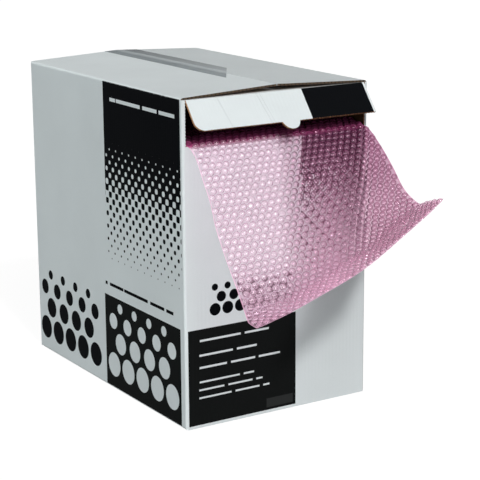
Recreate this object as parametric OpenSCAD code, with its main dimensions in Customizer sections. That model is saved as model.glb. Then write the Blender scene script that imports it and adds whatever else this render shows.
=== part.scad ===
// Bubble wrap roll in its corrugated dispenser carton, with the free end of the film drawn
// out over the front slot. Millimetres. X across the front, Y to the back, Z up.
// The origin is the centre of the carton's bottom face.

/* [Film roll] */
// Width of the bubble film
film_w = 305; // [250:1:500]
// Outside diameter of the wound film
roll_d = 456; // [300:1:600]
// How far the turns stand past the film's edges at each end of the roll
roll_edge = 0.3; // [0.2:0.05:0.4]
// Depth of the flat spot on which the soft roll rests
roll_flat = 0.6; // [0.3:0.1:2]
// Distance between two grooves on the roll's ends, three turns of film
turn_pitch = 9.6; // [6:0.1:16]
// Width of a groove between turns
groove_w = 2; // [1:0.1:4]
// Depth of a groove between turns
groove_h = 2; // [1:0.1:4]
// Outside diameter of the cardboard core tube
core_d = 82; // [50:1:100]
// Wall of the cardboard core tube
core_wall = 3; // [2:0.1:6]
// Gap between the core tube and the first turn
core_gap = 0.1; // [0.05:0.05:0.3]

/* [Carton] */
// Thickness of the corrugated board
board_t = 3; // [2:0.1:4]
// Room at each side between the film and the glued tab's thickness
side_room = 0.5; // [0.5:0.1:4]
// Room between the roll and the front panel
front_room = 5; // [2:0.5:20]
// Room between the roll and the back panel
back_room = 23; // [2:0.5:40]
// Room between the roll and the inner top flaps
top_room = 19.6; // [10:0.1:40]
// Outside radius of a folded corner of the board
fold_r = 4; // [2:0.5:8]
// How far the two top flaps rise from the side panels to the seam
crown = 7; // [2:0.5:14]
// Open gap between the two top flaps along the seam
seam_gap = 1.6; // [1:0.1:4]
// How far an inner flap stops short of the middle of a square with the carton's width
inner_flap_short = 2; // [0:1:40]
// Gap between an inner flap's side edge and the side panel
inner_flap_gap = 1; // [0.5:0.1:3]
// Width of the glued tab that closes the blank at a back corner
glue_tab_w = 30; // [15:1:40]
// How far the glued tab stops short of the floor and of the top
glue_tab_end = 14; // [8:1:40]

/* [Dispenser slot] */
// Height of the slot torn open in the front panel, up to the crease
slot_h = 65; // [60:1:90]
// Board left at each side of the slot
slot_side = 5; // [3:0.5:16]
// Distance between two teeth along a torn perforation
tooth_pitch = 4.6; // [3:0.1:12]
// Depth of a tooth along a torn perforation
tooth_h = 1; // [0.4:0.1:2]

/* [Dispenser flap] */
// Length of the flap from its hinge line to its torn edge
flap_l = 49; // [35:1:55]
// Angle that the flap stands open from the front panel
flap_open = 38; // [10:1:80]
// Gap between the flap and each side of the slot
flap_gap = 0.5; // [0.3:0.1:2]
// Clearance round the rolled edge on which the flap hinges
hinge_gap = 0.3; // [0.2:0.05:1]
// Radius of the flap's rounded lower left corner
flap_corner_r = 15; // [5:1:25]
// Radius of the half-round thumb tab
tab_r = 15; // [10:1:20]
// How far the thumb tab stands out below the torn edge
tab_out = 12; // [5:1:15]
// Place of the thumb tab, from the middle of the flap to the right
tab_x = 3; // [-60:1:60]
// Distance between two flutes of the corrugated board
flute_pitch = 6.4; // [4:0.1:9]
// Thickness of each paper layer of the board
liner_t = 0.4; // [0.3:0.05:0.6]
// Solid board left between the flutes and the hinge line
flute_end = 5; // [3:1:12]

/* [Top tape] */
// Width of the tape that closes the top seam
tape_w = 60; // [30:1:80]
// How far the tape is laid to the right of the seam
tape_x = 8; // [-12:1:12]
// Thickness of the tape
tape_t = 0.3; // [0.2:0.05:0.6]
// Distance from the front of the carton to the tape's front end, at its left edge
tape_front = 105; // [60:1:300]
// How much further back the torn end lies at the tape's right edge
tape_slant = 95; // [0:5:120]
// Length of the tape's tail down the back panel
tape_tail = 60; // [30:1:90]

/* [Drawn film] */
// Length of film drawn out past the front panel
drawn_l = 312; // [150:1:330]
// Thickness of the film's flat backing
film_t = 1.2; // [0.8:0.1:2]
// Height of a bubble above the backing
bubble_h = 3.6; // [1:0.1:5]
// Distance between the middles of two bubbles
bubble_pitch = 11.3; // [11:0.1:24]
// Rows of bubbles inside the slot
rows_inside = 3; // [1:1:8]
// Gap between the film and the lower edge of the slot
film_gap = 0.3; // [0.2:0.1:2]
// How deep the film's first turn is sunk into the roll
film_sink = 0.5; // [0.3:0.1:1]
// Length in which the film bends down from the slot
bend_l = 30; // [20:1:100]
// Slope of the hanging film at its left edge, in degrees
left_fall = -51; // [-70:1:-20]
// Slope of the hanging film at its right edge, in degrees
right_fall = -37.5; // [-60:0.5:-20]
// Slope at the tip of the left edge, in degrees
left_tip = 5; // [-50:1:30]
// Slope at the tip of the right edge, in degrees
right_tip = 18; // [-30:1:45]
// Where the left edge turns up, as a share of the drawn length
left_turn = 0.86; // [0.5:0.01:0.9]
// Where the right edge turns up, as a share of the drawn length
right_turn = 0.35; // [0.2:0.01:0.8]
// Length of the left edge's turn
left_turn_l = 20; // [10:1:100]
// Length of the right edge's turn
right_turn_l = 116; // [40:1:160]
// How fast the slope changes from the left edge to the right, as a power
twist_power = 1.85; // [1:0.05:2.5]
// How far the film's end drifts to the left
drift = 51; // [0:1:60]

/* [Hidden] */
$fn = 96;
// Overlap that joins two solids of one piece
bite = 0.5;
// How far the film's straight run lies inside the surfaces of the film that it joins
skin = 0.1;
// Allowance by which a cut runs past the surface that it opens
past = 1;

// The carton is cut to the roll, with its board and its room round it
carton_w = film_w + 4 * board_t + 2 * side_room;
carton_d = roll_d + 2 * board_t + front_room + back_room;
carton_h = roll_d - roll_flat + 3 * board_t + top_room;
inner_flap_l = carton_w / 2 - inner_flap_short;
// The top flaps lie on the inner flaps, so the front crease is one board below the top
crease_z = carton_h - board_t;
front_y = -carton_d / 2;
hinge_y = front_y + board_t / 2;
hinge_z = crease_z - board_t / 2;
slot_back = hinge_y + board_t / 2 + hinge_gap;
slot_z = crease_z - slot_h;
slot_w = carton_w - 2 * slot_side;
flap_w = slot_w - 2 * flap_gap - 2 * tooth_h;

roll_r = roll_d / 2;
roll_w = film_w + 2 * roll_edge;
core_r = core_d / 2;
roll_y = front_y + board_t + front_room + roll_r;
roll_z = board_t + roll_r - roll_flat;

// Straight run of the film from its last touch of the roll to the slot, in the Y-Z plane
slot_point = [front_y, slot_z + tooth_h + film_gap + film_t * 1.03];
to_slot = slot_point - [roll_y, roll_z];
touch_r = roll_r - film_sink;
run_l = sqrt(to_slot * to_slot - touch_r * touch_r);
touch_angle = atan2(to_slot.y, to_slot.x) - acos(touch_r / norm(to_slot));
run_slope = 90 - touch_angle;

under_columns = 6;
bubbles_across = under_columns / 2 * round(2 * film_w / bubble_pitch / under_columns);
half_cells = 2 * bubbles_across;
cell_w = film_w / bubbles_across;
drawn_rows = round(drawn_l / (cell_w * sqrt(3) / 2));
row_l = drawn_l / drawn_rows;
last_row = drawn_rows + rows_inside;
inside_l = rows_inside * row_l;
under_step = half_cells / under_columns;

// One saw-toothed edge of a torn perforation along X, teeth up from y = 0
module teeth(length) {
    count = floor(length / tooth_pitch);
    for (i = [0 : count - 1])
        translate([(i + 0.5 - count / 2) * tooth_pitch, 0])
            polygon([[-tooth_pitch * 0.4, -past], [tooth_pitch * 0.4, -past], [0, tooth_h]]);
}

module rounded_rect(w, d, r) {
    square([w - 2 * r, d], center = true);
    square([w, d - 2 * r], center = true);
    for (x = [-1, 1], y = [-1, 1])
        translate([x * (w / 2 - r), y * (d / 2 - r)])
            circle(r);
}

// Extrudes an outline drawn in X and Z along Y, both ways from the middle
module along_y(length) {
    rotate([90, 0, 0])
        linear_extrude(length, center = true)
            children();
}

// Outline of the closed carton seen from the front, with its crowned top
module front_outline() {
    half = carton_w / 2;
    polygon([
        [fold_r - half, 0], [half - fold_r, 0], [half, fold_r], [half, carton_h - fold_r],
        [half - fold_r, carton_h], [0, carton_h + crown],
        [fold_r - half, carton_h], [-half, carton_h - fold_r], [-half, fold_r]
    ]);
    for (x = [-1, 1], z = [fold_r, carton_h - fold_r])
        translate([x * (half - fold_r), z])
            circle(fold_r);
}

module cavity_outline() {
    half = carton_w / 2 - board_t;
    polygon([[-half, board_t], [half, board_t], [half, crease_z], [0, crease_z + crown], [-half, crease_z]]);
}

module outer_shell() {
    difference() {
        intersection() {
            linear_extrude(carton_h + crown)
                rounded_rect(carton_w, carton_d, fold_r);
            along_y(carton_d)
                front_outline();
        }
        along_y(carton_d - 2 * board_t)
            cavity_outline();
    }
}

// Inner flap that folds in from the front (side -1) or back (side 1) panel
module inner_flap(side, z) {
    w = carton_w - 2 * board_t - 2 * inner_flap_gap;
    mirror([0, side < 0 ? 1 : 0, 0])
        translate([-w / 2, carton_d / 2 - inner_flap_l, z])
            cube([w, inner_flap_l - board_t + bite, board_t]);
}

module glue_tab() {
    translate([board_t - bite - carton_w / 2, carton_d / 2 - board_t - glue_tab_w, glue_tab_end])
        cube([board_t + bite, glue_tab_w + bite, carton_h - 2 * glue_tab_end]);
}

// The slot goes up through the crease, where the front flap's hinge line takes its place
module slot_cut() {
    depth = slot_back - front_y + past;
    translate([0, slot_back, slot_z])
        rotate([90, 0, 0])
            linear_extrude(depth)
                difference() {
                    translate([-slot_w / 2, 0])
                        square([slot_w, slot_h + past]);
                    teeth(slot_w);
                    for (side = [-1, 1])
                        translate([side * slot_w / 2, slot_h / 2])
                            rotate(side * 90)
                                teeth(slot_h);
                }
}

// The top flaps' front edges stop behind the raised dispenser flap
module front_ledge_cut() {
    translate([-carton_w / 2 - past, front_y - past, crease_z])
        cube([carton_w + 2 * past, slot_back - front_y + past, board_t + crown + past]);
}

module seam_cut(z, h) {
    translate([-seam_gap / 2, front_y - past, z])
        cube([seam_gap, carton_d + 2 * past, h]);
}

module carton() {
    color("gainsboro")
        difference() {
            union() {
                outer_shell();
                for (side = [-1, 1], z = [board_t, crease_z - board_t])
                    inner_flap(side, z);
                glue_tab();
            }
            slot_cut();
            front_ledge_cut();
            seam_cut(crease_z, board_t + crown + past);
        }
}

// Outline of the flap below its hinge line, which is y = 0
module flap_outline() {
    left = -flap_w / 2;
    difference() {
        union() {
            translate([left + flap_corner_r, -flap_l])
                square([flap_w - flap_corner_r, flap_l]);
            translate([left, flap_corner_r - flap_l])
                square([flap_w, flap_l - flap_corner_r]);
            translate([left + flap_corner_r, flap_corner_r - flap_l])
                circle(flap_corner_r);
            translate([tab_x, tab_r - tab_out - flap_l])
                circle(tab_r);
        }
        for (side = [-1, 1])
            flap_teeth(side);
    }
}

// Teeth along the torn edge on one side of the thumb tab, cut up into the edge
module flap_teeth(side) {
    inner = tab_x + side * (tab_r + tooth_pitch / 2);
    outer = side < 0 ? flap_corner_r - flap_w / 2 : flap_w / 2;
    translate([(inner + outer) / 2, -flap_l])
        teeth(abs(outer - inner));
}

// Hollow flutes of the corrugated board, in the plane across the flap
module flutes() {
    count = floor((flap_w - 2 * liner_t) / flute_pitch);
    deep = board_t - 2 * liner_t;
    base = flute_pitch / 2 - 1.2 * liner_t;
    for (i = [0 : count - 1])
        translate([(i + 0.5 - count / 2) * flute_pitch, 0]) {
            polygon([[-base, -deep / 2], [base, -deep / 2], [liner_t, deep / 2 - liner_t],
                     [-liner_t, deep / 2 - liner_t]]);
            if (i < count - 1)
                translate([flute_pitch / 2, 0])
                    polygon([[-base, deep / 2], [base, deep / 2], [liner_t, liner_t - deep / 2],
                             [-liner_t, liner_t - deep / 2]]);
        }
}

module dispenser_flap() {
    color("white")
        translate([0, hinge_y, hinge_z])
            rotate([-flap_open, 0, 0]) {
                difference() {
                    rotate([90, 0, 0])
                        linear_extrude(board_t, center = true)
                            flap_outline();
                    translate([0, 0, -flap_l - tab_out - past])
                        linear_extrude(flap_l + tab_out + past - flute_end)
                            flutes();
                }
                rotate([0, 90, 0])
                    cylinder(h = flap_w, d = board_t, center = true);
            }
}

module top_tape() {
    rise = crown / (carton_w / 2 - fold_r);
    ridge = carton_h + crown;
    left = tape_x - tape_w / 2;
    right = tape_x + tape_w / 2;
    low_left = ridge + rise * left;
    low_right = ridge - rise * right;
    torn = function (x) front_y + tape_front + tape_slant * (x - left) / tape_w;
    color("lightgray")
        difference() {
            union() {
                translate([0, tape_front / 2, 0])
                    along_y(carton_d - tape_front)
                        polygon([[left, low_left], [0, ridge], [right, low_right], [right, low_right + tape_t],
                                 [0, ridge + tape_t], [left, low_left + tape_t]]);
                translate([0, (carton_d + tape_t) / 2, 0])
                    along_y(tape_t)
                        polygon([[left, carton_h - tape_tail], [right, carton_h - tape_tail],
                                 [right, low_right + tape_t], [0, ridge + tape_t], [left, low_left + tape_t]]);
            }
            translate([0, 0, carton_h])
                linear_extrude(crown + tape_t + past)
                    polygon([[left - past, front_y], [right + past, front_y],
                             [right + past, torn(right + past)], [left - past, torn(left - past)]]);
        }
}

module core_tube() {
    color("burlywood")
        translate([-film_w / 2, roll_y, roll_z])
            rotate([0, 90, 0])
                difference() {
                    cylinder(h = film_w, r = core_r - core_gap);
                    translate([0, 0, -past])
                        cylinder(h = film_w + 2 * past, r = core_r - core_gap - core_wall);
                }
}

// Half section of the wound roll, with the grooves between turns on both ends
module roll_section() {
    turns = floor((roll_r - core_r) / turn_pitch - 0.5);
    difference() {
        translate([core_r, 0])
            square([roll_r - core_r, roll_w]);
        for (i = [1 : turns], y = [-past, roll_w - groove_h])
            translate([core_r + i * turn_pitch, y])
                square([groove_w, groove_h + past]);
    }
}

module wound_roll() {
    translate([-roll_w / 2, roll_y, roll_z])
        rotate([0, 90, 0])
            rotate_extrude()
                roll_section();
}

function ease(t) = let (c = min(max(t, 0), 1)) c * c * (3 - 2 * c);
function mix(a, b, t) = a + (b - a) * t;

// Slope of the film in degrees, across it from 0 at the left to 1, and past the slot
function slope(u, s) =
    let (
        fall = mix(left_fall, right_fall, pow(u, twist_power)),
        tip = mix(left_tip, right_tip, pow(u, twist_power)),
        turn = drawn_l * mix(left_turn, right_turn, u),
        turn_l = mix(left_turn_l, right_turn_l, u)
    )
    run_slope + (fall - run_slope) * ease(s / bend_l) + (tip - fall) * ease((s - turn) / turn_l);

// Distance past the slot of each line across the film's grid
function line_s(j) = j * row_l - inside_l;

// One lengthwise line of the film as [y, z] at each grid line, summed up step by step
function lengthwise(u) =
    let (start = slot_point - inside_l * [-cos(run_slope), sin(run_slope)])
    [for (
        j = 0, p = start;
        j <= last_row;
        a = slope(u, (line_s(j) + line_s(j + 1)) / 2),
        p = p + (line_s(j + 1) - line_s(j)) * [-cos(a), sin(a)],
        j = j + 1
    ) p];

runs = [for (k = [0 : half_cells]) lengthwise(k / half_cells)];

// Step to the right between two lengthwise lines, so that the film keeps its width
function step_x(k, j) =
    let (d = runs[k + 1][j] - runs[k][j], w = film_w / half_cells)
    sqrt(max(w * w - d * d, w * w / 16));

function across(j) = [for (k = 0, x = 0; k <= half_cells; x = k < half_cells ? x + step_x(k, j) : x, k = k + 1) x];

function line_points(j) =
    let (xs = across(j), left = -xs[half_cells] / 2 - drift * pow(max(line_s(j), 0) / drawn_l, 2))
    [for (k = [0 : half_cells]) [left + xs[k], runs[k][j].x, runs[k][j].y]];

grid = [for (j = [0 : last_row]) line_points(j)];

function grid_normal(k, j) =
    let (
        across_v = grid[j][min(k + 1, half_cells)] - grid[j][max(k - 1, 0)],
        along_v = grid[min(j + 1, last_row)][k] - grid[max(j - 1, 0)][k],
        n = cross(along_v, across_v)
    )
    n / norm(n);

// Six-sided cells: the grid's points move a third of a half row, up and down in turn
function zigzag(k, j) =
    j == 0 || j == last_row ? grid[j][k]
    : let (t = ((k + j) % 2 == 0 ? 1 : -1) / 6)
      mix(grid[j][k], grid[j + (t > 0 ? 1 : -1)][k], abs(t));

// A bubble's first half cell: rows of whole cells and rows moved by half a cell take turns
function cell_start(i, j) = 2 * i + (j % 2 == 0 ? 0 : 1);

module drawn_film() {
    count = half_cells + 1;
    lines = last_row + 1;
    top = [for (j = [0 : last_row], k = [0 : half_cells]) zigzag(k, j)];
    under_ks = function (j) j == 0 || j == last_row ? [for (k = [0 : half_cells]) k]
        : [for (m = [0 : under_columns]) m * under_step];
    under = [for (j = [0 : last_row], k = [0 : half_cells]) zigzag(k, j) - film_t * grid_normal(k, j)];
    cells = [for (j = [0 : last_row - 1], i = [0 : bubbles_across - 1])
        if (cell_start(i, j) + 2 <= half_cells) [cell_start(i, j), j]];
    apexes = [for (c = cells)
        let (
            k = c.x,
            j = c.y,
            mid = (grid[j][k] + grid[j][k + 2] + grid[j + 1][k] + grid[j + 1][k + 2]) / 4,
            n = (grid_normal(k + 1, j) + grid_normal(k + 1, j + 1)) / 2
        )
        mid + bubble_h * n];
    at = function (k, j) j * count + k;
    below = function (k, j) lines * count + j * count + k;
    apex = function (n) 2 * lines * count + n;
    bubble_faces = [for (n = [0 : len(cells) - 1])
        let (
            k = cells[n].x,
            j = cells[n].y,
            ring = [at(k, j), at(k, j + 1), at(k + 1, j + 1), at(k + 2, j + 1), at(k + 2, j), at(k + 1, j)]
        )
        for (e = [0 : 5]) [ring[(e + 1) % 6], ring[e], apex(n)]];
    // The half cells at the ends of the moved rows stay flat
    flat_faces = [for (j = [1 : 2 : last_row - 1], k = [0, half_cells - 1])
        for (f = [[at(k, j), at(k + 1, j), at(k, j + 1)], [at(k + 1, j), at(k + 1, j + 1), at(k, j + 1)]]) f];
    under_faces = [for (j = [0 : last_row - 1], m = [0 : under_columns - 1])
        let (
            a = m * under_step,
            b = a + under_step,
            near = j == 0 ? 1 : under_step,
            far = j == last_row - 1 ? 1 : under_step
        )
        for (f = concat(
            [for (k = [a : near : b - 1]) [below(k, j), below(a, j + 1), below(k + near, j)]],
            [for (k = [a : far : b - 1]) [below(k, j + 1), below(k + far, j + 1), below(b, j)]]
        )) f];
    side_faces = [for (j = [0 : last_row - 1])
        for (f = [
            [at(0, j), at(0, j + 1), below(0, j)], [at(0, j + 1), below(0, j + 1), below(0, j)],
            [at(half_cells, j), below(half_cells, j), at(half_cells, j + 1)],
            [at(half_cells, j + 1), below(half_cells, j), below(half_cells, j + 1)]
        ]) f];
    end_faces = [for (k = [0 : half_cells - 1])
        for (f = [
            [at(k, 0), below(k, 0), at(k + 1, 0)], [at(k + 1, 0), below(k, 0), below(k + 1, 0)],
            [at(k, last_row), at(k + 1, last_row), below(k, last_row)],
            [at(k + 1, last_row), below(k + 1, last_row), below(k, last_row)]
        ]) f];
    polyhedron(
        points = concat(top, under, apexes),
        faces = concat(bubble_faces, flat_faces, under_faces, side_faces, end_faces)
    );
}

// Flat run of film from the roll to the first row of bubbles
module straight_run() {
    translate([0, slot_point.x, slot_point.y])
        rotate([-run_slope, 0, 0])
            translate([skin - film_w / 2, inside_l - bite, skin - film_t])
                cube([film_w - 2 * skin, run_l - inside_l + bite, film_t - 2 * skin]);
}

module bubble_film() {
    color("pink")
        union() {
            difference() {
                wound_roll();
                translate([-roll_w / 2 - past, roll_y - roll_r, -roll_flat])
                    cube([roll_w + 2 * past, roll_d, board_t + roll_flat]);
            }
            straight_run();
            drawn_film();
        }
}

carton();
dispenser_flap();
top_tape();
core_tube();
bubble_film();
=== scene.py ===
import math
import random
import bpy
from mathutils import Matrix, Vector


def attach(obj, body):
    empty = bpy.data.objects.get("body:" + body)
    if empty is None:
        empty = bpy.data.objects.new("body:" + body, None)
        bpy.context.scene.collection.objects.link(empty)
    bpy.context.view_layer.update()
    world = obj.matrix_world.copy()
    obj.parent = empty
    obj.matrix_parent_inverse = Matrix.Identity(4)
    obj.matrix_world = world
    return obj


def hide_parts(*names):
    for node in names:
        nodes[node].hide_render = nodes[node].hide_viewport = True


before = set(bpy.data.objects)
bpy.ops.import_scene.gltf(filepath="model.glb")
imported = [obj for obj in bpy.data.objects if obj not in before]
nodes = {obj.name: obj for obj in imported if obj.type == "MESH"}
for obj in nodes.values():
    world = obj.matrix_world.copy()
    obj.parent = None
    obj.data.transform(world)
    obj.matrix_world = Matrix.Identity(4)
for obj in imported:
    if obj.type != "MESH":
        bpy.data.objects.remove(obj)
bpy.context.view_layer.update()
MM = 0.001
TURN = 2 * math.pi


# The carton, in metres: it stands on z 0, with its middle at x 0 and y 0

HALF_DEPTH = 0.245                   # from the middle to the front panel's face
WALL_X, WALL_Y = 0.1549, 0.2409      # faces beyond these that look outwards are printed
FOLD_X, FOLD_Y = 0.1545, 0.2405      # the upright folds lie beyond both of these
INSIDE_X, INSIDE_Y = 0.1562, 0.2419  # the carton's inside lies within these; its kraft is painted darker as shade
FLAPS_Z, CUT_Z = 0.4795, 0.4812      # the top flaps lie above the first, their cut ends above the second
SEAM_Z, SEAM_HALF = 0.4845, 0.0012   # the narrow gap where the top flaps meet
FOOT_Z = 0.0015                      # the bottom's outer face lies below this
PANEL_Z = 0.4816                     # the side panels end below this
FRONT_FACE_Y = -0.24                 # the front panel's face lies past this
RIM_Z = (0.4805, 0.4850)             # the folds between the panels and the top flaps
SLOT_CUT_Y = (-0.2452, -0.2418)      # the slot's cut edges, through the board
SLOT_CUT_Z = (0.41, 0.4805)          # and up the panel
SLOT_FLUTE_Y = (-0.2444, -0.2424)    # between the two liners of those edges
FLUTE = 0.0064                       # one wave of the corrugation
HINGE_Y, HINGE_Z = -0.2435, 0.4795   # the dispenser flap's crease
FLAP_OPEN = math.radians(38)         # how far the dispenser flap stands open at rest
FLAP_SIDE, FRAY = 0.1527, 0.0016     # from the middle to the flap's side edges, and how far they fray
LINER_DEEP, FLUTES_DEEP = 0.0009, 0.0010  # from the flap's middle to its white liner and its flutes
CREASES = ((-0.103, 0.0011), (-0.038, 0.0009), (-0.0325, 0.0006))  # as (x at the hinge, width)
CREASE_LEAN = 0.18                   # how far a crease drifts sideways for each unit of drop
CORE_STRIP = 0.075                   # width of the strip that the core tube is wound from


# The print: spans and places from low to high, dots as (height, radius), words as
# (low, high, from, to, shift of the gaps)

FADE = (0.392, 0.315, 0.199)         # heights where the black columns are solid, half and gone
SCREEN = (0.0204, 0.0200)            # pitches of the columns' dots, sideways and upwards
GAP_WAVES = (0.043, 0.0253)          # gaps fall in the words where both waves are low

SIDE_COLUMN, SIDE_SCREEN_AT = (0.0065, 0.2355), 0.005
SIDE_FIELD, SIDE_FIELD_Z = (0.0135, 0.2465), (0.003, 0.1495)
SIDE_HEADING = [(0.4535, 0.4590, 0.021, 0.214, 0.4)]
SIDE_LINE = [(0.1655, 0.1705, 0.033, 0.243, 2.1)]
SIDE_DOTS = [(0.0400, 0.0192), (0.0780, 0.0165), (0.1105, 0.0125), (0.1345, 0.0078)]
SIDE_DOTS_AT, SIDE_DOT_PITCH, SIDE_DOT_COUNT = (0.0170, 0.2600), 0.0452, 5

COLUMN_X = (0.0400, 0.1490)
FIELD_X, FIELD_Z = (-0.1545, 0.0310), (0.0045, 0.1490)
PATCH_X, PATCH_Z = (-0.021, 0.026), (0.0085, 0.0225)
FRONT_DOTS = [(0.1750, 0.0092), (0.1930, 0.0078), (0.2080, 0.0052)]
FRONT_DOTS_AT, FRONT_DOT_PITCH, FRONT_DOT_COUNT = -0.1195, 0.0214, 7
FRONT_WORDS = [
    (0.1300, 0.1332, -0.135, -0.012, 0.9), (0.1080, 0.1112, -0.136, -0.038, 2.9),
    (0.0895, 0.0927, -0.136, 0.003, 4.4), (0.0680, 0.0708, -0.136, -0.043, 1.2),
    (0.0560, 0.0588, -0.137, -0.028, 5.1), (0.0440, 0.0468, -0.137, -0.016, 3.3)]

WHITE = (0.775, 0.83, 0.845)
INK, INK_SOFT, INK_GREY = (0.0035, 0.004, 0.005), (0.009, 0.010, 0.010), (0.030, 0.032, 0.032)
# KRAFT_DARK is painted shade in the open flutes
KRAFT, KRAFT_DARK = (0.36, 0.19, 0.10), (0.10, 0.052, 0.028)
# The cut ends' kraft, darkened partly as painted shade, and their open flutes, painted dark as shade
CUT_BOARD, CUT_FLUTE = (0.125, 0.092, 0.066), (0.030, 0.022, 0.017)
# Painted shade in the dispenser flap's creases
CREASE_SHADE = (0.52, 0.56, 0.58)


# The film, from the same named sizes as the part's source, in millimetres and degrees

FILM_W, FILM_T, DRAWN = 305.0, 1.2, 312.0
ACROSS, ROWS_OUT, INSIDE_ROWS = 27, 32, 3
ROW_L, CELL = DRAWN / ROWS_OUT, FILM_W / ACROSS
ROLL_Y, ROLL_Z = -9.0, 230.4
FRONT_Y, SLOT_Z = -245.0, 418.54
BEND_L, LEFT_FALL, RIGHT_FALL, LEFT_TIP, RIGHT_TIP = 30.0, -51.0, -37.5, 5.0, 18.0
LEFT_TURN, RIGHT_TURN, LEFT_TURN_L, RIGHT_TURN_L = 0.86, 0.35, 20.0, 116.0
TWIST_POWER, DRIFT, TOUCH_R = 1.85, 51.0, 227.5
DY, DZ = FRONT_Y - ROLL_Y, SLOT_Z - ROLL_Z
DIST = math.hypot(DY, DZ)
RUN_L = math.sqrt(DIST * DIST - TOUCH_R * TOUCH_R)
TOUCH = math.degrees(math.atan2(DZ, -DY)) + math.degrees(math.acos(TOUCH_R / DIST))
RUN_SLOPE = TOUCH - 90
BACK_ROWS = int(RUN_L / ROW_L)       # rows of bubbles between the slot and the roll

# Fineness of the sheet's mesh, and the free curl along its two edges: its height, its width in
# pairs of mesh columns, and where it starts past the slot
PER_CELL, PER_ROW = 4, 4
CURL, CURL_WIDE, CURL_FROM = 1.6, 1.5, 25

# One bubble: rings as (radius, height) and its height at the top
PROFILE = ((5.15, 0.0), (4.98, 1.45), (4.45, 2.75), (3.4, 3.8), (1.85, 4.53))
DOME_H = 4.8

# The wound roll: radii of the core, of the last turn's backing and of the circle on which its rows
# of bubbles keep their pitch, then a turn's thickness, and the turns and depth of the spiral step
CORE_R, WOUND_R, BUBBLES_R = 41.0, 224.6, 225.0
TURN_T, STEP_TURNS, STEP_DEEP = 3.2, 3, 1.4
REST_Z = 3.2                         # the roll's flat underside rests here
ROLL_SEGMENTS, ROLL_RINGS, LAST_ROWS = 192, 116, 16

# The film's tints: of its clear part, low corner, part swept past the carton, and part in the slot; the
# swept and slot tints are painted shade
CLEAR, CLOUDED, LOW_CORNER = (0.995, 0.93, 0.965), (0.98, 0.88, 0.935), (0.80, 0.58, 0.70)
SWEPT, SWEPT_END = (0.48, 0.28, 0.39), (0.84, 0.68, 0.76)
DOME_CLEAR, DOME_SWEPT, DOME_END = (0.99, 0.94, 0.965), (0.64, 0.44, 0.54), (0.88, 0.75, 0.81)
# Painted shade: the tint, haze and gloss for the slot are darkened
SLOT_SHADE_TINT = (0.42, 0.12, 0.24)
# Painted glare: the haze and gloss for the left are lighter
HAZE, HAZE_END = (0.45, 0.09, 0.26), (1.0, 0.62, 0.81)
HAZE_GLARE, HAZE_SLOT_SHADE = (1.0, 0.70, 0.87), (0.64, 0.12, 0.34)
GLEAM, GLEAM_GLARE, GLEAM_SLOT_SHADE = (0.66, 0.43, 0.55), (1.0, 0.92, 0.97), (0.1, 0.03, 0.06)
LAMP_CLEAR, LAMP_SWEPT = (0.97, 0.96, 0.97), (0.26, 0.25, 0.25)
DOME_IOR = 1.10


# Camera, lamps, world and floor

# The camera was solved from the carton's visible corners
CAMERA_AT = (-1.23004, -2.09452, 0.80973)
CAMERA_YAW, CAMERA_PITCH, CAMERA_ROLL = 0.5618, math.radians(13.8335), -0.0068
LENS = 117.657
# Each lamp: name, direction towards it, strength, spread in degrees, colour
LAMPS = (
    ("key", (-0.13, -0.76, 0.64), 1.32, 5, (1, 0.98, 0.97)),
    ("key_soft", (-0.15, -0.74, 0.66), 0.95, 32, (1, 0.99, 0.98)),
    ("front_fill", (-0.50, -0.85, 0.05), 0.54, 70, (0.97, 1, 1)),
    ("left_fill", (-0.95, -0.22, 0.06), 1.76, 70, (0.95, 1, 1)),
    ("rear_fill", (0.75, 0.66, 0.0), 1.1, 40, (0.97, 1, 1)))
FLOOR_HALF, FLOOR_Z, FLOOR_COLOR, FLOOR_GLOW = 9, -0.0004, (0.16, 0.16, 0.16), 0.93
STUDIO_COLOR, STUDIO_STRENGTH = (0.95, 1, 1, 1), 0.06


def camera():
    yaw, pitch, roll = CAMERA_YAW, CAMERA_PITCH, CAMERA_ROLL
    ahead = Vector((math.sin(yaw) * math.cos(pitch), math.cos(yaw) * math.cos(pitch), -math.sin(pitch)))
    right = Vector((math.cos(yaw), -math.sin(yaw), 0))
    up = right.cross(ahead)
    r = math.cos(roll) * right + math.sin(roll) * up
    u = -math.sin(roll) * right + math.cos(roll) * up
    data = bpy.data.cameras.new("camera")
    data.lens = LENS
    data.sensor_width = 36
    data.clip_end = 50
    cam = bpy.data.objects.new("camera", data)
    cam.matrix_world = Matrix((
        (r.x, u.x, -ahead.x, CAMERA_AT[0]),
        (r.y, u.y, -ahead.y, CAMERA_AT[1]),
        (r.z, u.z, -ahead.z, CAMERA_AT[2]),
        (0, 0, 0, 1)))
    bpy.context.scene.collection.objects.link(cam)
    bpy.context.scene.camera = cam


def sun(name, towards, strength, angle, color):
    data = bpy.data.lights.new(name, "SUN")
    data.energy = strength
    data.angle = math.radians(angle)
    data.color = color
    lamp = bpy.data.objects.new(name, data)
    lamp.rotation_euler = Vector(towards).to_track_quat("Z", "Y").to_euler()
    bpy.context.scene.collection.objects.link(lamp)


def seen(t):
    """1 for rays that show in the picture: straight, mirrored or bent by a bubble."""
    path = t.nodes.new("ShaderNodeLightPath")
    value = path.outputs["Is Camera Ray"]
    for kind in ("Is Glossy Ray", "Is Transmission Ray"):
        most = t.nodes.new("ShaderNodeMath")
        most.operation = "MAXIMUM"
        t.links.new(value, most.inputs[0])
        t.links.new(path.outputs[kind], most.inputs[1])
        value = most.outputs[0]
    return value


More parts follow.
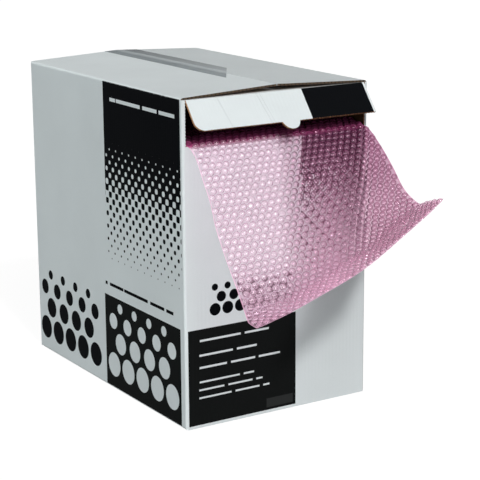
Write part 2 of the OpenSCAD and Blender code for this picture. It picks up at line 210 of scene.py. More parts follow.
def studio():
    """A backdrop that shows white and gives only a little soft light."""
    world = bpy.data.worlds.new("studio")
    bpy.context.scene.world = world
    world.use_nodes = True
    t = world.node_tree
    t.nodes.clear()
    out = t.nodes.new("ShaderNodeOutputWorld")
    mix = t.nodes.new("ShaderNodeMixShader")
    soft = t.nodes.new("ShaderNodeBackground")
    soft.inputs["Color"].default_value = STUDIO_COLOR
    soft.inputs["Strength"].default_value = STUDIO_STRENGTH
    white = t.nodes.new("ShaderNodeBackground")
    white.inputs["Color"].default_value = (1, 1, 1, 1)
    t.links.new(seen(t), mix.inputs[0])
    t.links.new(soft.outputs[0], mix.inputs[1])
    t.links.new(white.outputs[0], mix.inputs[2])
    t.links.new(mix.outputs[0], out.inputs["Surface"])


def floor():
    """A pale floor, close to the backdrop's white, which keeps the shadows."""
    mesh = bpy.data.meshes.new("floor")
    corners = [(x * FLOOR_HALF, y * FLOOR_HALF, FLOOR_Z) for x, y in ((-1, -1), (1, -1), (1, 1), (-1, 1))]
    mesh.from_pydata(corners, [], [(0, 1, 2, 3)])
    plane = bpy.data.objects.new("floor", mesh)
    bpy.context.scene.collection.objects.link(plane)
    p = Paint("floor")
    base = p.node("ShaderNodeBsdfDiffuse", Color=FLOOR_COLOR).outputs[0]
    glow = p.node("ShaderNodeEmission", Color=(1, 1, 1), Strength=p.mul(seen(p.t), FLOOR_GLOW)).outputs[0]
    both = p.t.nodes.new("ShaderNodeAddShader")
    p.t.links.new(base, both.inputs[0])
    p.t.links.new(glow, both.inputs[1])
    mesh.materials.append(p.done(both.outputs[0]))


# Small helper that strings shader nodes together

class Paint:
    def __init__(self, name):
        self.m = bpy.data.materials.new(name)
        self.m.use_nodes = True
        self.t = self.m.node_tree
        self.t.nodes.clear()
        self.out = self.t.nodes.new("ShaderNodeOutputMaterial")
        self._xyz = None
        self._normal = None

    def put(self, socket, value):
        if isinstance(value, bpy.types.NodeSocket):
            self.t.links.new(value, socket)
        elif hasattr(socket.default_value, "__len__") and not hasattr(value, "__len__"):
            socket.default_value = [value] * len(socket.default_value)
        elif hasattr(value, "__len__") and len(value) == 3 and len(socket.default_value) == 4:
            socket.default_value = (*value, 1)
        else:
            socket.default_value = value

    def node(self, kind, **sockets):
        n = self.t.nodes.new(kind)
        for key, value in sockets.items():
            self.put(n.inputs[key.replace("_", " ")], value)
        return n

    def math(self, op, *values, clamp=False):
        n = self.t.nodes.new("ShaderNodeMath")
        n.operation = op
        n.use_clamp = clamp
        for i, v in enumerate(values):
            self.put(n.inputs[i], v)
        return n.outputs[0]

    def chain(self, op, first, *rest):
        for v in rest:
            first = self.math(op, first, v)
        return first

    def add(self, *v):
        return self.chain("ADD", *v)

    def mul(self, *v):
        return self.chain("MULTIPLY", *v)

    def most(self, *v):
        return self.chain("MAXIMUM", *v)

    def sub(self, a, b):
        return self.math("SUBTRACT", a, b)

    def inv(self, a):
        return self.math("SUBTRACT", 1.0, a)

    def size(self, a):
        return self.math("ABSOLUTE", a)

    def above(self, a, b):
        return self.math("GREATER_THAN", a, b)

    def below(self, a, b):
        return self.math("LESS_THAN", a, b)

    def between(self, a, low, high):
        return self.math("COMPARE", a, (low + high) / 2, abs(high - low) / 2)

    def wave(self, a, length):
        return self.math("SINE", self.mul(a, TURN / length))

    def far_from(self, a, b):
        return self.math("SQRT", self.add(self.mul(a, a), self.mul(b, b)))

    def ramp(self, v, a, b, c=0.0, d=1.0):
        n = self.t.nodes.new("ShaderNodeMapRange")
        n.clamp = True
        for i, w in enumerate((v, a, b, c, d)):
            self.put(n.inputs[i], w)
        return n.outputs[0]

    def place(self):
        if self._xyz is None:
            c = self.t.nodes.new("ShaderNodeTexCoord")
            self.coords = c.outputs["Object"]
            s = self.t.nodes.new("ShaderNodeSeparateXYZ")
            self.t.links.new(self.coords, s.inputs[0])
            self._xyz = s.outputs
            s = self.t.nodes.new("ShaderNodeSeparateXYZ")
            self.t.links.new(c.outputs["Normal"], s.inputs[0])
            self._normal = s.outputs
        return self._xyz[0], self._xyz[1], self._xyz[2]

    def facing(self):
        self.place()
        return self._normal[0], self._normal[1], self._normal[2]

    def noise(self, scale, detail=2.0, rough=0.5, stretched=None):
        self.place()
        n = self.node("ShaderNodeTexNoise", Scale=scale, Detail=detail, Roughness=rough)
        at = self.coords
        if stretched is not None:
            mapping = self.t.nodes.new("ShaderNodeMapping")
            mapping.inputs["Scale"].default_value = stretched
            self.t.links.new(at, mapping.inputs["Vector"])
            at = mapping.outputs[0]
        self.t.links.new(at, n.inputs["Vector"])
        return n.outputs[0]

    def mix(self, fac, a, b):
        n = self.t.nodes.new("ShaderNodeMix")
        n.data_type = "RGBA"
        self.put(n.inputs[0], fac)
        self.put(n.inputs[6], a)
        self.put(n.inputs[7], b)
        return n.outputs[2]

    def blend(self, fac, a, b):
        """Two shaders mixed."""
        n = self.t.nodes.new("ShaderNodeMixShader")
        self.put(n.inputs[0], fac)
        self.t.links.new(a, n.inputs[1])
        self.t.links.new(b, n.inputs[2])
        return n.outputs[0]

    def shade(self, color, value):
        n = self.t.nodes.new("ShaderNodeVectorMath")
        n.operation = "SCALE"
        self.put(n.inputs[0], color)
        self.put(n.inputs[3], value)
        return n.outputs[0]

    def bump(self, height, strength, distance, normal=None):
        n = self.node("ShaderNodeBump", Strength=strength, Distance=distance, Height=height)
        if normal is not None:
            self.t.links.new(normal, n.inputs["Normal"])
        return n.outputs[0]

    def skin(self, color, rough, spec, normal):
        n = self.node("ShaderNodeBsdfPrincipled", Base_Color=color, Roughness=rough, Normal=normal)
        n.inputs["Specular IOR Level"].default_value = spec
        return n.outputs[0]

    def done(self, shader):
        self.t.links.new(shader, self.out.inputs["Surface"])
        return self.m


# Materials of the board, the tape and the core tube

def lattice(p, a, b, pitch_a, pitch_b):
    """Cosine screen: 1 on a staggered grid of points, -1 on the grid between."""
    return p.mul(p.math("COSINE", p.mul(a, TURN / pitch_a)), p.math("COSINE", p.mul(b, TURN / pitch_b)))


def halftone(p, a, z):
    """Ink where the screen stands above a level that rises as z falls."""
    solid, half, gone = FADE
    level = p.add(p.ramp(z, solid, half, -1.09, 0.0), p.ramp(z, half, gone, 0.0, 1.0))
    return p.math("MULTIPLY", p.sub(lattice(p, a, z, *SCREEN), level), 14.0, clamp=True)


def words(p, a, z, rows):
    """Rows of thin bars with gaps between them."""
    total = None
    for low, high, start, end, shift in rows:
        first = p.math("SINE", p.add(p.mul(a, TURN / GAP_WAVES[0]), shift))
        second = p.math("SINE", p.add(p.mul(a, TURN / GAP_WAVES[1]), shift * 1.7))
        bars = p.above(p.add(first, second), -1.45)
        row = p.mul(p.between(z, low, high), p.between(a, start, end), bars)
        total = row if total is None else p.most(total, row)
    return total


def dots(p, a, z, start, pitch, count, rows):
    """Staggered rows of plain round dots, from the lowest row up."""
    total = None
    for i, (height, radius) in enumerate(rows):
        shift = 0.5 * (i % 2)
        step = p.math("DIVIDE", p.sub(a, start + shift * pitch), pitch)
        aside = p.mul(p.sub(p.math("FRACT", step), 0.5), pitch)
        dot = p.below(p.far_from(aside, p.sub(z, height)), radius)
        row = p.mul(dot, p.between(a, start + shift * pitch, start + (count - shift) * pitch))
        total = row if total is None else p.most(total, row)
    return total


def side_print(p, y, z):
    """Ink on the left and right panels, and their black field. Distances run back from the front."""
    back = p.add(y, HALF_DEPTH)
    column = p.mul(p.between(back, *SIDE_COLUMN), halftone(p, p.sub(back, SIDE_SCREEN_AT), z))
    column = p.mul(column, p.inv(words(p, back, z, SIDE_HEADING)))
    field = p.mul(p.between(back, *SIDE_FIELD), p.between(z, *SIDE_FIELD_Z))
    on_field, on_board = [dots(p, back, z, at, SIDE_DOT_PITCH, SIDE_DOT_COUNT, SIDE_DOTS)
                          for at in SIDE_DOTS_AT]
    ink = p.most(column, p.mul(field, p.inv(on_field)), on_board, words(p, back, z, SIDE_LINE))
    return ink, field


def front_print(p, x, z):
    """Ink on the front panel, its black field, and the greyer patch at the field's foot."""
    field = p.mul(p.between(x, *FIELD_X), p.between(z, *FIELD_Z))
    patch = p.mul(p.between(x, *PATCH_X), p.between(z, *PATCH_Z))
    row = dots(p, x, z, FRONT_DOTS_AT, FRONT_DOT_PITCH, FRONT_DOT_COUNT, FRONT_DOTS)
    column = p.mul(p.between(x, *COLUMN_X), halftone(p, p.sub(x, COLUMN_X[0]), z))
    ink = p.most(p.mul(field, p.inv(words(p, x, z, FRONT_WORDS))), row, column)
    return ink, field, patch


def carton_material():
    p = Paint("printed_board")
    x, y, z = p.place()
    nx, ny, nz = p.facing()
    ax, ay = p.size(x), p.size(y)
    out_x = p.mul(p.above(p.mul(nx, p.math("SIGN", x)), 0.3), p.above(ax, WALL_X))
    out_y = p.mul(p.above(p.mul(ny, p.math("SIGN", y)), 0.3), p.above(ay, WALL_Y))
    top = p.mul(p.above(nz, 0.3), p.above(z, FLAPS_Z))
    low = p.mul(p.below(nz, -0.3), p.below(z, FOOT_Z))
    cut = p.mul(p.above(p.size(ny), 0.6), p.above(z, CUT_Z))
    seam = p.mul(p.below(ax, SEAM_HALF), p.above(z, SEAM_Z))
    outer = p.mul(p.most(out_x, out_y, top, low, seam), p.inv(cut))
    is_side = p.mul(p.above(p.size(nx), 0.72), p.below(z, PANEL_Z))
    is_front = p.mul(p.below(ny, -0.72), p.below(y, FRONT_FACE_Y))
    is_top = p.above(nz, 0.5)

    side_ink, side_field = side_print(p, y, z)
    front_ink, front_field, patch = front_print(p, x, z)
    ink = p.most(p.mul(is_side, side_ink), p.mul(is_front, front_ink))
    soft = p.most(p.mul(is_side, side_field), p.mul(is_front, front_field))

    mottle = p.ramp(p.noise(7, 3, 0.55), 0.3, 0.7, 0.965, 1.02)
    fibre = p.noise(1100, 3, 0.65)
    paper = p.shade(WHITE, p.mul(mottle, p.ramp(fibre, 0.25, 0.75, 0.975, 1.025)))
    # Painted shade: the right top flap is made darker than the left one, as less light falls on it
    paper = p.shade(paper, p.mix(p.mul(is_top, p.ramp(x, -0.001, 0.004)), 1.0, 0.84))
    # The ink is worn along the folds, and lightened there as a painted highlight
    corner = p.mul(p.above(ax, FOLD_X), p.above(ay, FOLD_Y))
    rim = p.mul(p.between(z, *RIM_Z), p.inv(is_top))
    wear_and_highlight = p.mul(p.most(corner, rim), p.ramp(p.noise(160, 4, 0.7), 0.50, 0.66))
    ink = p.mul(ink, p.inv(p.mul(wear_and_highlight, 0.35)))
    inked = p.mix(soft, INK, INK_SOFT)
    inked = p.mix(p.mul(is_front, patch), inked, INK_GREY)
    printed = p.mix(ink, paper, inked)

    # Bare kraft inside, and the flutes on every cut edge, whose open channels are painted dark as the
    # shade within them
    holes = p.mul(cut, p.ramp(p.wave(p.add(x, y), FLUTE), 0.25, 0.75))
    slot_cut = p.mul(p.between(y, *SLOT_CUT_Y), p.below(p.size(ny), 0.3), p.between(z, *SLOT_CUT_Z))
    slot_holes = p.mul(p.between(y, *SLOT_FLUTE_Y), p.ramp(p.wave(p.add(z, x), FLUTE), 0.1, 0.7))
    holes = p.most(holes, p.mul(slot_cut, slot_holes))
    grain = p.noise(260, 4, 0.7, stretched=(1, 1, 0.18))
    uneven = p.mul(p.ramp(grain, 0.2, 0.8, 0.78, 1.18), p.ramp(p.noise(14, 2), 0.3, 0.7, 0.92, 1.06))
    kraft = p.mix(p.mul(holes, 0.85), p.shade(KRAFT, uneven), KRAFT_DARK)
    # Painted shade: the kraft within the carton is darkened to a fifth, as the inside lies in shade
    shade_inside = p.mul(p.below(ax, INSIDE_X), p.below(ay, INSIDE_Y), p.below(z, CUT_Z))
    kraft = p.shade(kraft, p.mix(shade_inside, 1.0, 0.20))
    kraft = p.mix(cut, kraft, p.mix(holes, CUT_BOARD, CUT_FLUTE))
    color = p.mix(outer, kraft, printed)

    # Flutes run up the walls, along x on the top flaps and along y underneath
    run = p.mix(is_top, p.mix(is_side, x, y), y)
    normal = p.bump(p.noise(9, 2, 0.5), 0.35, 0.004)
    normal = p.bump(p.wave(run, FLUTE), 0.10, 0.0003, normal)
    normal = p.bump(fibre, 0.12, 0.0002, normal)
    rough = p.mix(outer, p.ramp(grain, 0, 1, 0.82, 0.95), p.ramp(fibre, 0.2, 0.8, 0.50, 0.62))
    return p.done(p.skin(color, rough, 0.005, normal))


def flap_material():
    p = Paint("white_board")
    x, y, z = p.place()
    nx, ny, nz = p.facing()
    # Depth through the board and drop below the hinge, in the flap's own plane
    cosine, sine = math.cos(FLAP_OPEN), math.sin(FLAP_OPEN)
    dy, dz = p.sub(y, HINGE_Y), p.sub(z, HINGE_Z)
    deep = p.add(p.mul(dy, cosine), p.mul(dz, -sine))
    drop = p.add(p.mul(dy, -sine), p.mul(dz, -cosine))
    face = p.add(p.mul(ny, -cosine), p.mul(nz, sine))
    printed = p.mul(p.above(face, 0.30), p.below(deep, -LINER_DEEP))

    fibre = p.noise(1100, 3, 0.65)
    mottle = p.ramp(p.noise(16, 3, 0.55), 0.3, 0.7, 0.975, 1.02)
    # Three soft creases that lean with the drop; they are bumped and painted a darker grey as the shade
    # in their folds
    lean = p.mul(drop, CREASE_LEAN)
    crease = None
    for at, wide in CREASES:
        aside = p.size(p.sub(p.sub(x, at), lean))
        one = p.ramp(aside, wide * 0.3, wide * 1.6, 1.0, 0.0)
        crease = one if crease is None else p.most(crease, one)
    paper = p.shade(WHITE, p.mul(mottle, p.ramp(fibre, 0.25, 0.75, 0.98, 1.02)))
    paper = p.mix(p.mul(crease, 0.22), paper, CREASE_SHADE)
    front = p.mix(p.between(x, *COLUMN_X), paper, INK)

    # Kraft inside and on the torn edges, where the flutes are open and painted dark as the shade in them,
    # and the white paper is frayed
    grain = p.noise(260, 4, 0.7, stretched=(1, 0.3, 0.3))
    kraft = p.shade(KRAFT, p.mul(p.ramp(grain, 0.2, 0.8, 0.80, 1.18), mottle))
    middle = p.between(deep, -FLUTES_DEEP, FLUTES_DEEP)
    holes = p.mul(middle, p.below(p.size(face), 0.5), p.above(drop, 0.003))
    kraft = p.mix(p.mul(holes, 0.30), kraft, KRAFT_DARK)
    # Painted light: kraft faces turned to the left are painted lighter, as lit, and all others darker, as
    # shaded
    kraft = p.shade(kraft, p.mix(p.below(nx, -0.5), 0.62, 1.80))
    color = p.mix(printed, kraft, front)
    frayed = p.mul(p.sub(p.noise(240, 4, 0.7), 0.5), FRAY)
    edge = p.ramp(p.add(p.sub(FLAP_SIDE, p.size(x)), frayed), 0.0004, 0.0009, 1.0, 0.0)
    color = p.mix(p.mul(printed, p.mul(edge, 0.25)), color, KRAFT)

    normal = p.bump(p.noise(22, 2, 0.5), 0.30, 0.002)
    normal = p.bump(crease, 0.5, 0.0006, normal)
    normal = p.bump(p.wave(x, FLUTE), 0.10, 0.0003, normal)
    normal = p.bump(fibre, 0.12, 0.0002, normal)
    rough = p.mix(printed, 0.88, p.ramp(fibre, 0.2, 0.8, 0.48, 0.60))
    return p.done(p.skin(color, rough, 0.015, normal))


def tape_material():
    """Grey tape with trapped air, painted darker over the right flap as shade and lighter along the seam
    as a highlight.
    """
    p = Paint("tape")
    x, y, _ = p.place()
    streak = p.noise(90, 3, 0.6, stretched=(1.6, 0.05, 0.05))
    # Painted highlight: the tape is lighter along the seam's ridge
    seam = p.ramp(p.size(p.sub(x, 0.002)), 0.003, 0.008, 1.0, 0.0)
    tone = p.mul(p.ramp(streak, 0.3, 0.7, 0.84, 1.16), p.ramp(p.noise(30, 3), 0.3, 0.7, 0.93, 1.06))
    # Painted shade: the half over the right flap is darker, more so towards the back
    shaded_half = p.mul(p.ramp(x, 0.010, 0.014), p.ramp(y, -0.09, 0.02, 0.4, 1.0))
    color = p.mix(shaded_half, (0.24, 0.275, 0.29), (0.115, 0.135, 0.145))
    color = p.mix(p.mul(seam, 0.5), color, (0.42, 0.46, 0.48))
    color = p.shade(color, tone)
    air = p.ramp(p.noise(300, 2, 0.5), 0.60, 0.66)
    color = p.mix(p.mul(air, 0.14), color, (0.45, 0.49, 0.51))
    normal = p.bump(streak, 0.15, 0.0003)
    normal = p.bump(p.noise(45, 3), 0.2, 0.0008, normal)
    return p.done(p.skin(color, p.ramp(streak, 0.2, 0.8, 0.30, 0.42), 0.004, normal))


def core_material():
    """Grey-brown board wound from a strip, with the strip's seam as a spiral."""
    p = Paint("core_board")
    x, y, z = p.place()
    turn = p.math("ARCTAN2", p.sub(z, ROLL_Z * MM), p.sub(y, ROLL_Y * MM))
    wound = p.math("FRACT", p.add(p.math("DIVIDE", x, CORE_STRIP), p.mul(turn, 1 / TURN)))
    seam = p.ramp(p.size(p.sub(wound, 0.5)), 0.0, 0.012, 1.0, 0.0)
    grain = p.noise(300, 4, 0.7, stretched=(0.3, 1, 1))
    color = p.shade((0.42, 0.27, 0.155), p.ramp(grain, 0.2, 0.8, 0.82, 1.15))
    color = p.mix(p.mul(seam, 0.6), color, (0.2, 0.12, 0.07))
    normal = p.bump(seam, 0.5, 0.0006)
    normal = p.bump(grain, 0.2, 0.0003, normal)
    return p.done(p.skin(color, p.ramp(grain, 0, 1, 0.75, 0.9), 0.2, normal))


# Materials of the film

def film_material(name, backing):
    """See-through pink film: the flat backing, or the thin domes of the bubbles."""
    p = Paint(name)
    x, y, z = p.place()
    # The film's regions: reach runs level across it, to the right and forwards
    reach = p.add(p.mul(x, 0.846), p.mul(y, -0.533))
    swept = p.ramp(reach, 0.215, 0.265)
    far = p.ramp(y, -0.27, -0.46)
    # Painted shade: where the film runs into the slot under the flap, its tint, haze and gloss are
    # darkened and its haze thickened
    slot_shade = p.mul(p.ramp(y, -0.257, -0.249), p.above(z, 0.37))
    inside = p.ramp(y, -0.243, -0.215)
    mid = p.mul(p.ramp(reach, 0.14, 0.20), p.ramp(reach, 0.29, 0.36, 1.0, 0.0))
    # Painted glare: on the left, the haze is lighter and a little thicker, and the gloss whiter
    left = p.mul(p.ramp(reach, 0.130, 0.150, 1.0, 0.0), p.ramp(y, -0.46, -0.37, 0.0, 1.0))
    cloud = p.ramp(p.noise(18, 3, 0.6), 0.3, 0.7, 0.0, 1.0)

    # Painted shade: the tint is denser where the film sweeps out past the carton, though the film is
    # alike all over, and thins towards its end
    if backing:
        clear = p.mix(p.ramp(z, 0.216, 0.276, 1.0, 0.0), p.mix(cloud, CLEAR, CLOUDED), LOW_CORNER)
        tint = p.mix(swept, clear, p.mix(far, SWEPT, SWEPT_END))
    else:
        tint = p.mix(swept, DOME_CLEAR, p.mix(far, DOME_SWEPT, DOME_END))
    tint = p.mix(slot_shade, tint, SLOT_SHADE_TINT)
    normal = p.bump(p.noise(420 if backing else 330, 3, 0.6), 0.40, 0.0006 if backing else 0.0008)

    pink = p.mix(left, p.mix(far, HAZE, HAZE_END), HAZE_GLARE)
    pink = p.shade(p.mix(slot_shade, pink, HAZE_SLOT_SHADE), p.ramp(cloud, 0.0, 1.0, 0.92, 1.08))
    # Painted shade: the haze is darkened where the film runs inside the box
    pink = p.shade(pink, p.ramp(inside, 0.0, 1.0, 1.0, 0.30))
    haze = p.node("ShaderNodeBsdfDiffuse", Color=pink, Roughness=0.5).outputs[0]
    # Haze gathers along the sheet's own edges, where it also stands in as a painted highlight, and at the
    # foot of each bubble, seen edge on
    if backing:
        edge = p.t.nodes.new("ShaderNodeAttribute")
        edge.attribute_name = "edge"
        thin = p.add(p.ramp(left, 0.0, 1.0, 0.08, 0.12), p.mul(far, p.ramp(mid, 0, 1, 0.14, 0.38)))
        thick = p.ramp(edge.outputs["Fac"], 0.0, 1.0, p.add(thin, p.mul(slot_shade, 0.35)), 0.75)
    else:
        rim = p.node("ShaderNodeLayerWeight", Blend=0.5)
        thick = p.add(p.ramp(rim.outputs["Facing"], 0.15, 0.95, 0.08, 0.50), p.mul(slot_shade, 0.20))

    path = p.t.nodes.new("ShaderNodeLightPath")
    through = p.node("ShaderNodeBsdfTransparent", Color=tint).outputs[0]
    if not backing:
        # What lies behind a bubble is seen bent by its dome
        bent = p.node("ShaderNodeBsdfRefraction", Color=tint, Roughness=0.04, IOR=DOME_IOR, Normal=normal)
        through = p.blend(path.outputs["Is Camera Ray"], through, bent.outputs[0])
    body = p.blend(thick, through, haze)
    gleam = p.mix(slot_shade, p.mix(left, GLEAM, GLEAM_GLARE), GLEAM_SLOT_SHADE)
    rough = 0.36 if backing else 0.16
    gloss = p.node("ShaderNodeBsdfGlossy", Color=gleam, Roughness=rough, Normal=normal).outputs[0]
    glossy = p.blend(0.014 if backing else 0.15, body, gloss)
    # Lamps pass with a tint of their own, so that the shadow deepens with the film's tint
    passed = p.mix(p.ramp(reach, 0.20, 0.26), LAMP_CLEAR, LAMP_SWEPT)
    lit = p.node("ShaderNodeBsdfTransparent", Color=passed).outputs[0]
    p.m.blend_method = "HASHED"
    return p.done(p.blend(path.outputs["Is Shadow Ray"], glossy, lit))


def roll_material():
    """The wound film: bubbles round the outside, and the edges of its turns at the ends."""
    p = Paint("wound_film")
    x, y, z = p.place()
    round_r, turn_t = 0.226, TURN_T * MM
    dy, dz = p.sub(y, ROLL_Y * MM), p.sub(z, ROLL_Z * MM)
    along = p.mul(p.math("ARCTAN2", dz, dy), round_r)
    bubbles = p.ramp(lattice(p, x, along, 2 * CELL * MM, 2 * ROW_L * MM), 0.0, 0.8)
    end = p.above(p.size(p.facing()[0]), 0.7)
    layers = p.wave(p.add(p.far_from(dy, dz), p.mul(along, turn_t / (TURN * round_r))), turn_t)
    cloud = p.noise(60, 3, 0.6)
    outside = p.mix(bubbles, (0.42, 0.13, 0.25), (0.72, 0.38, 0.52))
    ends = p.mix(p.ramp(layers, -0.4, 0.6), (0.38, 0.12, 0.22), (0.78, 0.48, 0.60))
    color = p.shade(p.mix(end, outside, ends), p.ramp(cloud, 0.3, 0.7, 0.85, 1.1))
    normal = p.bump(p.mix(end, bubbles, layers), 0.6, 0.0015)
    normal = p.bump(cloud, 0.3, 0.0006, normal)
    return p.done(p.skin(color, p.ramp(cloud, 0.3, 0.7, 0.22, 0.38), 0.35, normal))


# The drawn film's ruled surface

def ease(t):
    t = min(max(t, 0.0), 1.0)
    return t * t * (3 - 2 * t)


def lerp(a, b, t):
    return a + (b - a) * t


def slope(u, s):
    """The film's slope in degrees, u across it from 0 to 1 and s along it from the slot."""
    w = u ** TWIST_POWER
    fall, tip = lerp(LEFT_FALL, RIGHT_FALL, w), lerp(LEFT_TIP, RIGHT_TIP, w)
    turn = DRAWN * lerp(LEFT_TURN, RIGHT_TURN, u)
    return (RUN_SLOPE + (fall - RUN_SLOPE) * ease(s / BEND_L)
            + (tip - fall) * ease((s - turn) / lerp(LEFT_TURN_L, RIGHT_TURN_L, u)))


def film_grid():
    """Points of the backing's top face, as grid[j][k], with the first row on the roll."""
    n = ACROSS * PER_CELL
    lines = (BACK_ROWS + ROWS_OUT) * PER_ROW
    ds, w = ROW_L / PER_ROW, FILM_W / n
    s0 = -BACK_ROWS * ROW_L
    columns = []
    for k in range(n + 1):
        u = k / n
        a = math.radians(RUN_SLOPE)
        y, z = FRONT_Y - s0 * math.cos(a), SLOT_Z + s0 * math.sin(a)
        line = [(y, z)]
        for j in range(lines):
            a = math.radians(slope(u, s0 + (j + 0.5) * ds))
            y, z = y - ds * math.cos(a), z + ds * math.sin(a)
            line.append((y, z))
        columns.append(line)
    grid = []
    for j in range(lines + 1):
        # Neighbours stay w apart, so that the film keeps its width
        xs = [0.0]
        for k in range(n):
            (y0, z0), (y1, z1) = columns[k][j], columns[k + 1][j]
            xs.append(xs[-1] + math.sqrt(max(w * w - (y1 - y0) ** 2 - (z1 - z0) ** 2, w * w / 16)))
        s = s0 + j * ds
        left = -xs[-1] / 2 - DRIFT * (max(s, 0) / DRAWN) ** 2
        grid.append([Vector((left + xs[k], *columns[k][j])) for k in range(n + 1)])
    return grid, s0, ds


def normals(grid):
    """Upward normals of the grid's points."""
    rows, cols = len(grid), len(grid[0])
    out = []
    for j in range(rows):
        line = []
        for k in range(cols):
            across = grid[j][min(k + 1, cols - 1)] - grid[j][max(k - 1, 0)]
            along = grid[min(j + 1, rows - 1)][k] - grid[max(j - 1, 0)][k]
            v = along.cross(across).normalized()
            line.append(-v if v.z < 0 else v)
        out.append(line)
    return out


def ripple(x, s):
    """Slow waves of the limp film, in millimetres, none where it lies on the carton."""
    grow = ease(s / 60.0)
    return grow * (0.9 * math.sin(x / 31.0 + s / 47.0) + 0.7 * math.sin(x / 17.0 - s / 23.0 + 1.3)
                   + 0.4 * math.sin(s / 9.5 + x / 60.0))


# The film's pieces

def new_object(name, verts, faces, material):
    """A smooth mesh object, from points in millimetres."""
    mesh = bpy.data.meshes.new(name)
    mesh.from_pydata([tuple(v * MM) for v in verts], [], faces)
    mesh.validate()
    for poly in mesh.polygons:
        poly.use_smooth = True
    mesh.materials.append(material)
    obj = bpy.data.objects.new(name, mesh)
    bpy.context.scene.collection.objects.link(obj)
    return obj


def dome(verts, faces, mid, axes, size, high, squash, seg=10):
    """One closed bubble standing on the backing, open underneath. squash shifts its top."""
    across, along, up = axes
    start = len(verts)
    for r, h in PROFILE:
        for i in range(seg):
            a = TURN * i / seg
            lean = squash * (h / DOME_H) ** 2
            verts.append(mid + across * (r * size * math.cos(a) + lean[0])
                         + along * (r * size * math.sin(a) + lean[1]) + up * (h * high))
    verts.append(mid + up * (DOME_H * high) + across * squash[0] + along * squash[1])
    for ring in range(len(PROFILE) - 1):
        for i in range(seg):
            a, b = start + ring * seg + i, start + ring * seg + (i + 1) % seg
            faces.append((a, b, b + seg, a + seg))
    top = start + len(PROFILE) * seg
    last = start + (len(PROFILE) - 1) * seg
    for i in range(seg):
        faces.append((last + i, last + (i + 1) % seg, top))


def film():
    """The sheet, lowered by its thickness and rippled, and the bubbles that stand on it."""
    random.seed(53)
    grid, s0, ds = film_grid()
    up = normals(grid)
    rows, cols = len(grid), len(grid[0])
    lowered = []
    for j in range(rows):
        s = s0 + j * ds
        for k in range(cols):
            v = grid[j][k]
            curl = 0.0
            edge = min(k, cols - 1 - k) / 2.0
            if edge < CURL_WIDE and s > CURL_FROM:
                curl = CURL * (1 - edge / CURL_WIDE) ** 2 * (0.6 + 0.4 * math.sin(s / 13.0 + k))
            lowered.append(v + up[j][k] * (ripple(v.x, s) + curl - FILM_T))
    return film_sheet(lowered, rows, cols), film_bubbles(lowered, up, rows, cols)


def film_sheet(points, rows, cols):
    """The backing. Its attribute edge is 1 on the free edges, where haze gathers, partly as a painted
    highlight.
    """
    faces = [(j * cols + k, j * cols + k + 1, (j + 1) * cols + k + 1, (j + 1) * cols + k)
             for j in range(rows - 1) for k in range(cols - 1)]
    sheet = new_object("film_sheet", points, faces, film_material("film_backing", True))
    edge = sheet.data.attributes.new("edge", "FLOAT", "POINT")
    for i in range(len(points)):
        edge.data[i].value = 1.0 if i // cols == rows - 1 or i % cols in (0, cols - 1) else 0.0
    return sheet


def film_bubbles(points, up, rows, cols):
    """Bubbles in offset rows, all in one piece."""
    verts, faces = [], []
    for j in range((rows - 1) // PER_ROW):
        # Rows are counted from the slot as in the source, so that the lattice is the same
        odd = (j - BACK_ROWS + INSIDE_ROWS) % 2
        line = j * PER_ROW + PER_ROW // 2
        for i in range(ACROSS):
            k = i * PER_CELL + PER_CELL // 2 + (PER_CELL // 2 if odd else 0)
            if k >= cols - 1:
                continue
            mid = points[line * cols + k]
            across = (points[line * cols + k + 1] - points[line * cols + k - 1]).normalized()
            along = (points[(line + 1) * cols + k] - points[(line - 1) * cols + k]).normalized()
            n = across.cross(along)
            n = n if n.dot(up[line][k]) > 0 else -n
            # A few bubbles have lost their air
            flat = random.random() < 0.02
            high = (0.35 if flat else 1.0) * random.uniform(0.9, 1.0)
            lean = Vector((random.uniform(-0.9, 0.9), random.uniform(-0.9, 0.9)))
            size = random.uniform(0.96, 1.02)
            dome(verts, faces, mid + n * 0.05, (across, along, n), size, high, lean)
    return new_object("film_bubbles", verts, faces, film_material("film_bubble", False))


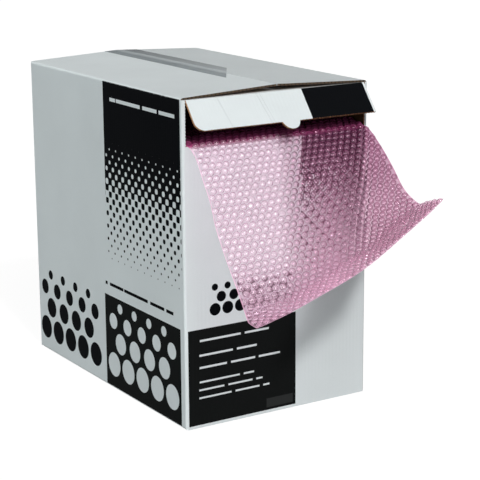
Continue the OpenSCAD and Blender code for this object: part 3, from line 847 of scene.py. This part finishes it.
def roll():
    """The wound film: a spiral step down each end and a soft flat where it rests."""
    seg, rings = ROLL_SEGMENTS, ROLL_RINGS
    half = FILM_W / 2 - 0.4
    verts, faces = [], []
    for side in (-1, 1):
        for i in range(rings + 1):
            r = CORE_R + (WOUND_R - CORE_R) * i / rings
            for a in range(seg):
                angle = TURN * a / seg
                phase = (r - CORE_R) / (TURN_T * STEP_TURNS) - a / seg
                dip = STEP_DEEP * max(0.0, math.sin(TURN * phase)) ** 2 if 0 < i < rings else 0.0
                y, z = ROLL_Y + r * math.cos(angle), ROLL_Z + r * math.sin(angle)
                verts.append(Vector((side * (half - dip), y, max(z, REST_Z))))
    block = (rings + 1) * seg
    for side in (0, 1):
        for i in range(rings):
            for a in range(seg):
                b = (a + 1) % seg
                q = (side * block + i * seg + a, side * block + i * seg + b,
                     side * block + (i + 1) * seg + b, side * block + (i + 1) * seg + a)
                faces.append(q if side == 0 else q[::-1])
    last = rings * seg
    for a in range(seg):
        b = (a + 1) % seg
        faces.append((last + a, last + b, block + last + b, block + last + a))
        faces.append((b, a, block + a, block + b))
    return new_object("film_roll", verts, faces, roll_material())


def roll_bubbles():
    """Bubbles on the last turn, where the slot and the raised flap show it."""
    random.seed(7)
    verts, faces = [], []
    x_axis = Vector((1, 0, 0))
    for j in range(LAST_ROWS):
        angle = math.radians(TOUCH) + (j + 0.5) * ROW_L / BUBBLES_R
        n = Vector((0, -math.cos(angle), math.sin(angle)))
        mid = Vector((0, ROLL_Y, ROLL_Z)) + n * WOUND_R
        axes = (x_axis, x_axis.cross(n), n)
        odd = j % 2
        for i in range(ACROSS - odd):
            x = -FILM_W / 2 + (i + 0.5 + 0.5 * odd) * CELL
            high = random.uniform(0.70, 0.78)
            dome(verts, faces, mid + x_axis * x, axes, 0.98, high, Vector((0, 0)), seg=8)
    return new_object("roll_bubbles", verts, faces, film_material("roll_bubble", False))


def dress(mesh, material):
    """Gives a node that is carried over its material."""
    if len(mesh.material_slots):
        for slot in mesh.material_slots:
            slot.link = "OBJECT"
            slot.material = material
    else:
        mesh.data.materials.append(material)


def main():
    bpy.context.scene.view_settings.view_transform = "Standard"
    camera()
    for lamp in LAMPS:
        sun(*lamp)
    studio()
    floor()
    dress(nodes["carton"], carton_material())
    dress(nodes["dispenser_flap"], flap_material())
    dress(nodes["top_tape"], tape_material())
    dress(nodes["core_tube"], core_material())
    sheet, bubbles = film()
    body = roll()
    last_turn = roll_bubbles()
    for piece in (sheet, bubbles, body, last_turn):
        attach(piece, "carton")
        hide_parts("bubble_film")


main()
